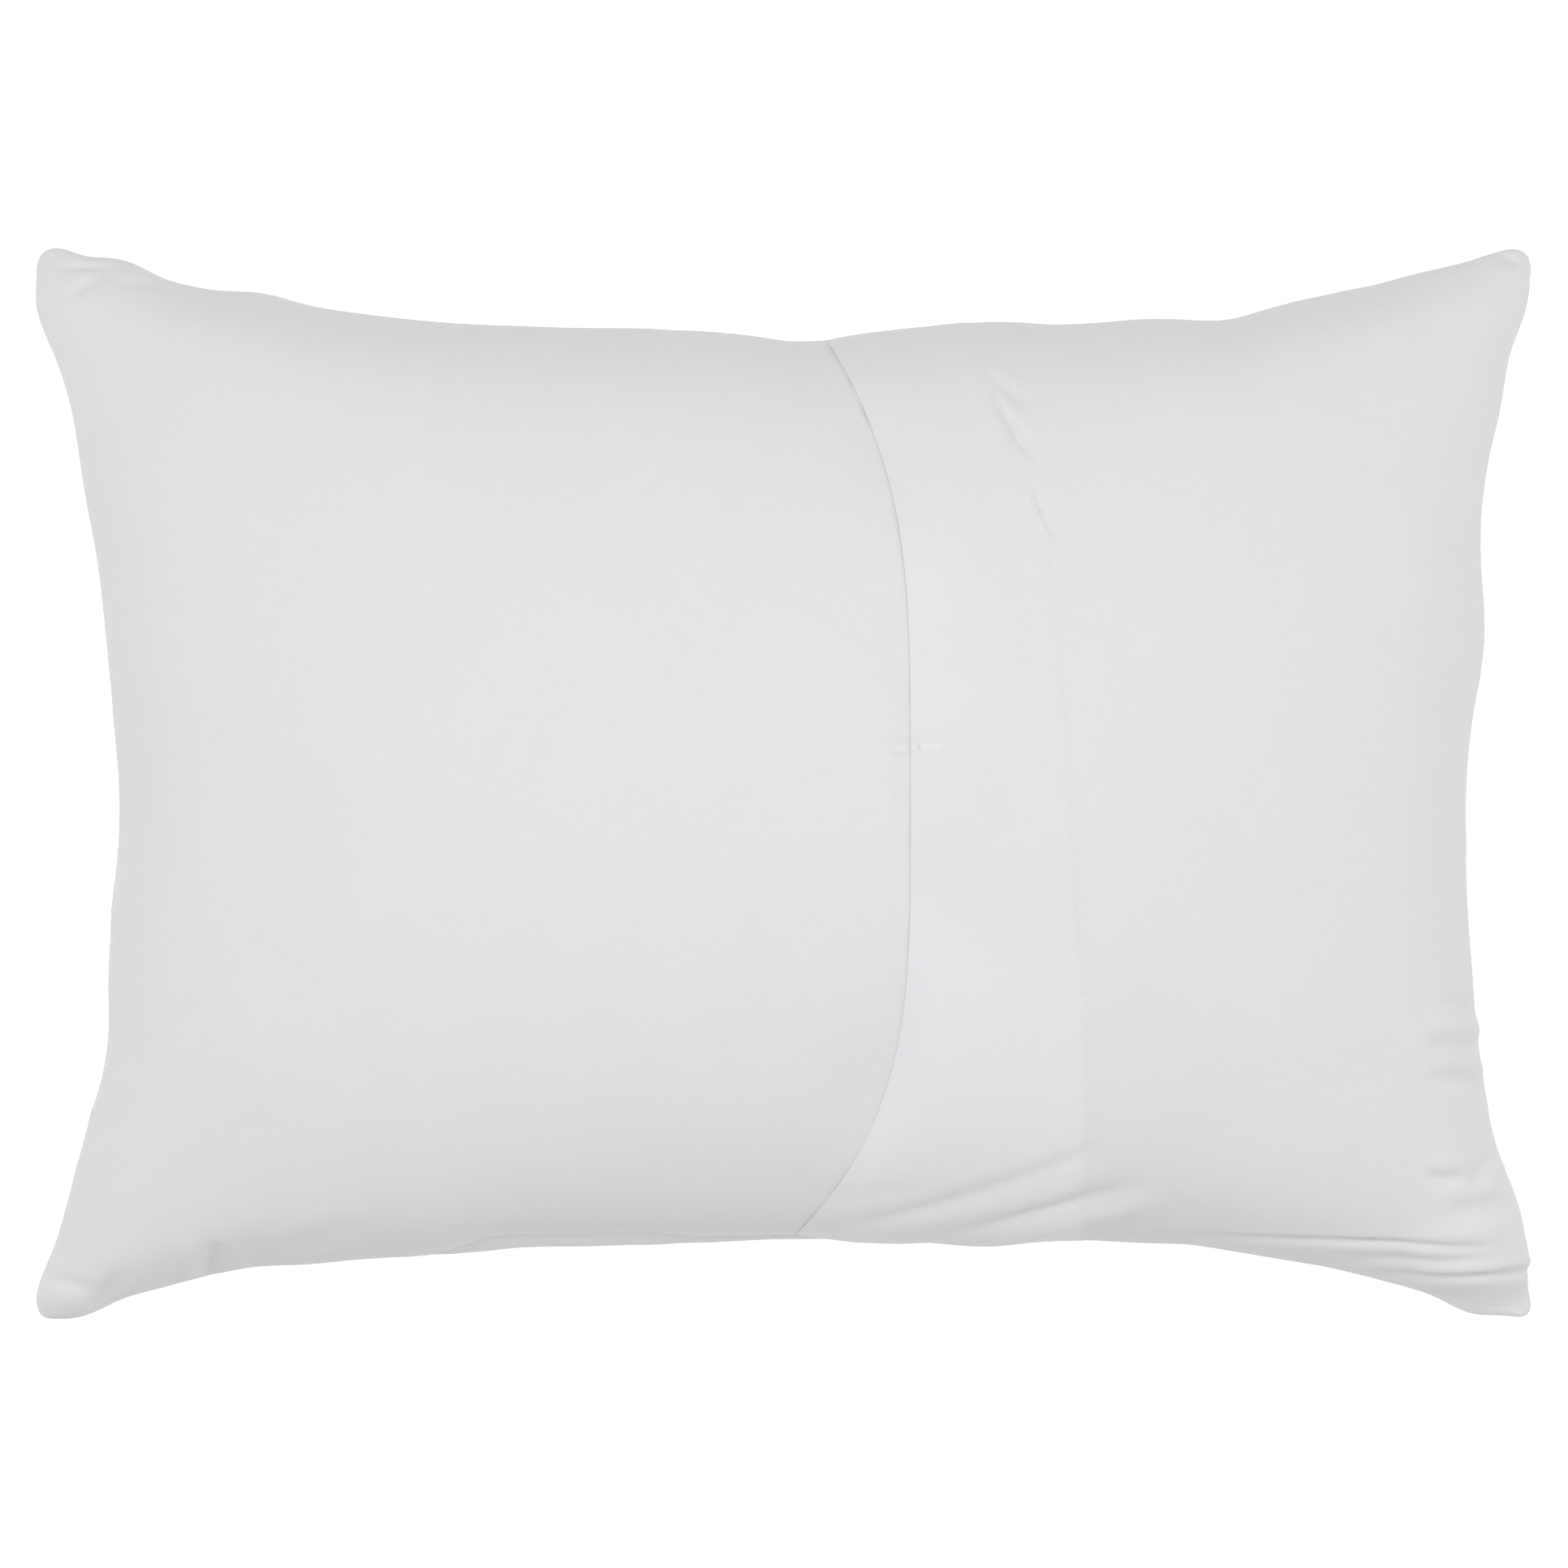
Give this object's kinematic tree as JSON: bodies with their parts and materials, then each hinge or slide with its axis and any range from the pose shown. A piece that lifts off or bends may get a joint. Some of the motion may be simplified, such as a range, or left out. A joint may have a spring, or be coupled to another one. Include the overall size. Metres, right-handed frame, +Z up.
{
  "type": "bed pillow",
  "caption": "Plump rectangular bed pillow in a plain cotton cover with a wide-hemmed envelope flap across its back, over a fibre-filled insert.",
  "frame": {"origin": "middle of the pillow's footprint, on the surface it lies on", "axes": "+X along the pillow towards the flap's sewn side, +Y across it, +Z up out of the side with the opening"},
  "size_m": [0.68, 0.488, 0.1876],
  "materials": {
    "cover_cotton": "matte plain-weave cotton, off-white",
    "hem_cotton": "matte plain-weave cotton, double layer, slightly whiter",
    "thread": "spun polyester sewing thread, satin",
    "ticking": "matte down-proof cotton",
    "label_satin": "woven satin ribbon, blank",
    "fibre": "loose white polyester fibre"
  },
  "bodies": {
    "root": {"cover_front_panel": "cover_cotton", "cover_back_panel": "cover_cotton", "cover_flap": "cover_cotton", "flap_hem": "hem_cotton", "back_panel_hem": "cover_cotton", "flap_hem_stitching": "thread", "back_panel_hem_stitching": "thread", "cover_seam_top": "cover_cotton", "cover_seam_bottom": "cover_cotton", "cover_seam_left": "cover_cotton", "cover_seam_right": "cover_cotton", "seam_thread_top": "thread", "seam_thread_bottom": "thread", "seam_thread_left": "thread", "seam_thread_right": "thread", "cover_care_label": "label_satin", "insert_top_ticking": "ticking", "insert_bottom_ticking": "ticking", "insert_edge_seam": "ticking", "insert_closing_stitching": "thread", "insert_care_label": "label_satin", "fibre_fill": "fibre"}
  },
  "joints": []
}
